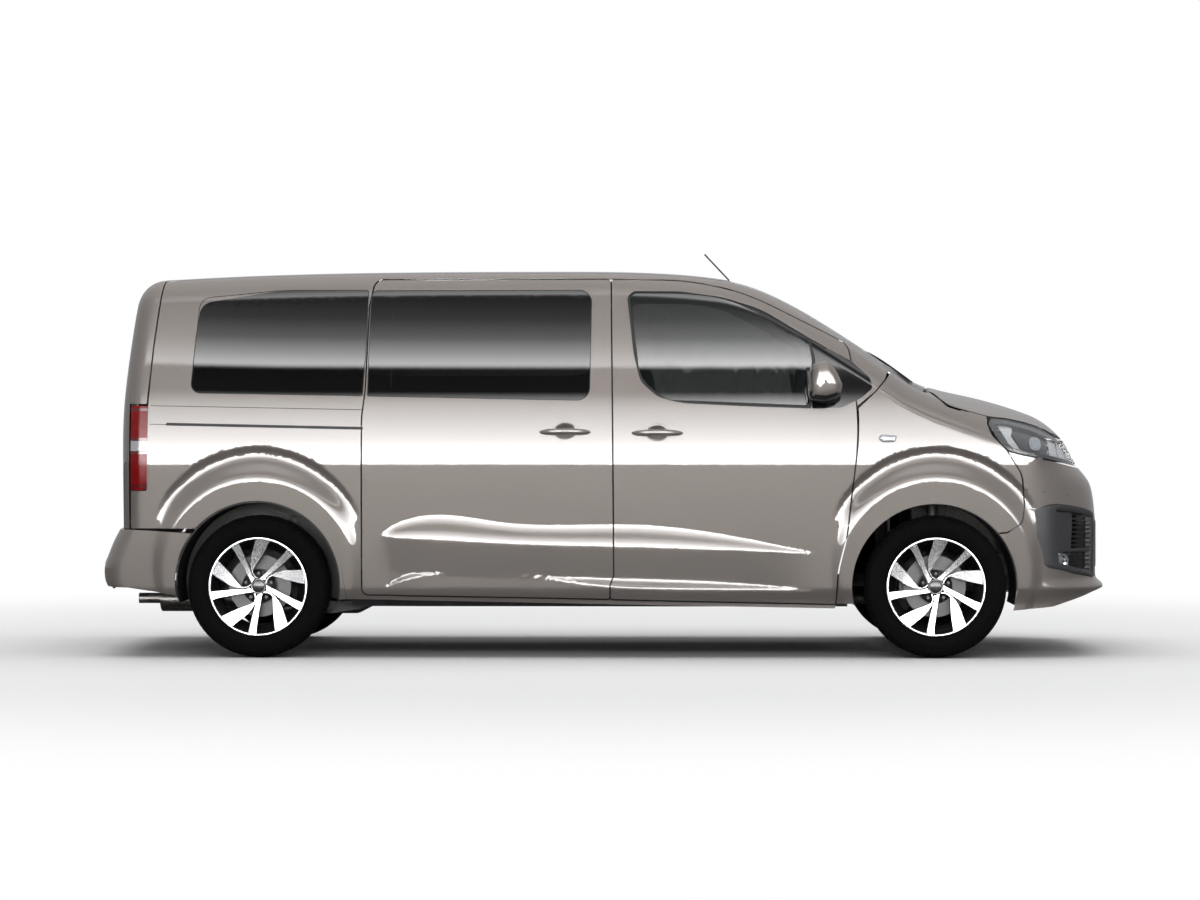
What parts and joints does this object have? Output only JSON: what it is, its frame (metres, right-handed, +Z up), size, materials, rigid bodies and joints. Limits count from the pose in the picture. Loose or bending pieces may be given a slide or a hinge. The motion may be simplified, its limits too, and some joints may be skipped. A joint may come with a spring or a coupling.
{
  "type": "passenger van",
  "caption": "Two-box passenger van with sliding side doors, a lifting tailgate, three rows of seats and steerable front wheels.",
  "frame": {"origin": "centre of the overall box on the ground", "axes": "+X to the van's front, +Y to its left, +Z up"},
  "size_m": [4.9558, 2.204, 1.9923],
  "materials": {
    "body_paint": "metallic gloss",
    "dark_glass": "privacy tint, polished",
    "clear_glass": "polished",
    "black_plastic": "fine grain",
    "tyre": "matt",
    "alloy": "machined and lacquered",
    "headlamp": "clear cover over chrome",
    "tail_lamp": "red and white cover",
    "grille_black": "satin",
    "steel": "bare steel",
    "chassis_black": "satin",
    "iron": "raw",
    "floor_trim": "ribbed mat",
    "trim_dark": "soft grain",
    "seat_cloth": "woven",
    "wheel_leather": "smooth"
  },
  "bodies": {
    "body": {"side_panel_left": "body_paint", "side_panel_right": "body_paint", "quarter_glass": "dark_glass", "sliding_doors": "body_paint", "sliding_glass": "dark_glass", "front_wings": "body_paint", "roof_panel": "body_paint", "windscreen": "clear_glass", "front_bumper": "body_paint", "headlamps": "headlamp", "grille": "grille_black", "lower_grille": "grille_black", "intakes": "grille_black", "tail_lamps": "tail_lamp", "rear_bumper": "body_paint", "rear_axle": "chassis_black", "wheel_arch_liners": "black_plastic", "floor_pan": "floor_trim", "firewall": "chassis_black", "cowl": "black_plastic", "front_frame": "chassis_black", "engine_block": "iron", "fuel_tank": "black_plastic", "exhaust": "steel", "dashboard": "trim_dark", "front_seats": "seat_cloth", "middle_seats": "seat_cloth", "rear_seats": "seat_cloth", "sliding_door_handles": "body_paint", "front_wipers": "black_plastic", "aerial": "black_plastic", "door_pillars": "trim_dark"},
    "hood_lid": {"hood": "body_paint"},
    "tailgate_lid": {"tailgate": "body_paint", "rear_window": "dark_glass", "rear_wiper": "black_plastic"},
    "front_door_left_leaf": {"front_door_left": "body_paint", "door_glass_left": "clear_glass", "mirror_left": "body_paint", "front_door_handle_left": "body_paint"},
    "steering_knuckle_left": {"knuckle_left": "iron"},
    "wheel_front_left": {"rim_front_left": "alloy", "tyre_front_left": "tyre"},
    "wheel_rear_left": {"rim_rear_left": "alloy", "tyre_rear_left": "tyre"},
    "front_door_right_leaf": {"front_door_right": "body_paint", "door_glass_right": "clear_glass", "mirror_right": "body_paint", "front_door_handle_right": "body_paint"},
    "steering_knuckle_right": {"knuckle_right": "iron"},
    "wheel_front_right": {"rim_front_right": "alloy", "tyre_front_right": "tyre"},
    "wheel_rear_right": {"rim_rear_right": "alloy", "tyre_rear_right": "tyre"},
    "steering_wheel_assembly": {"steering_wheel": "wheel_leather"}
  },
  "joints": [
    {"name": "steer_right", "type": "hinge", "parent": "body", "child": "steering_knuckle_right", "pos_m": [1.5985, -0.755, 0.205], "axis": [0, 0.2162, 0.9764], "range_deg": [-35, 35]},
    {"name": "wheel_front_right_spin", "type": "hinge", "parent": "steering_knuckle_right", "child": "wheel_front_right", "pos_m": [1.5985, -0.8135, 0.344], "axis": [0, 1, 0], "continuous": true},
    {"name": "wheel_rear_right_spin", "type": "hinge", "parent": "body", "child": "wheel_rear_right", "pos_m": [-1.6765, -0.8, 0.344], "axis": [0, 1, 0], "continuous": true},
    {"name": "front_door_right_hinge", "type": "hinge", "parent": "body", "child": "front_door_right_leaf", "pos_m": [1.2186, -0.9472, 0.8], "axis": [0, 0, 1], "range_deg": [0, 68]},
    {"name": "steer_left", "type": "hinge", "parent": "body", "child": "steering_knuckle_left", "pos_m": [1.5985, 0.755, 0.205], "axis": [0, -0.2162, 0.9764], "range_deg": [-35, 35]},
    {"name": "wheel_front_left_spin", "type": "hinge", "parent": "steering_knuckle_left", "child": "wheel_front_left", "pos_m": [1.5985, 0.8135, 0.344], "axis": [0, 1, 0], "continuous": true},
    {"name": "wheel_rear_left_spin", "type": "hinge", "parent": "body", "child": "wheel_rear_left", "pos_m": [-1.6765, 0.8, 0.344], "axis": [0, 1, 0], "continuous": true},
    {"name": "front_door_left_hinge", "type": "hinge", "parent": "body", "child": "front_door_left_leaf", "pos_m": [1.2186, 0.9472, 0.8], "axis": [0, 0, -1], "range_deg": [0, 68]},
    {"name": "steering_wheel_turn", "type": "hinge", "parent": "body", "child": "steering_wheel_assembly", "pos_m": [0.88, 0.4, 1.085], "axis": [-0.891, 0, 0.454], "range_deg": [-525, 525]},
    {"name": "hood_hinge", "type": "hinge", "parent": "body", "child": "hood_lid", "pos_m": [1.55, 0, 1.33], "axis": [0, -1, 0], "range_deg": [0, 55]},
    {"name": "tailgate_hinge", "type": "hinge", "parent": "body", "child": "tailgate_lid", "pos_m": [-2.144, 0, 1.862], "axis": [0, 1, 0], "range_deg": [0, 85]}
  ],
  "couplings": [
    {"joint": "steer_left", "follows": "steer_right", "ratio": 1},
    {"joint": "steering_wheel_turn", "follows": "steer_right", "ratio": 15}
  ]
}
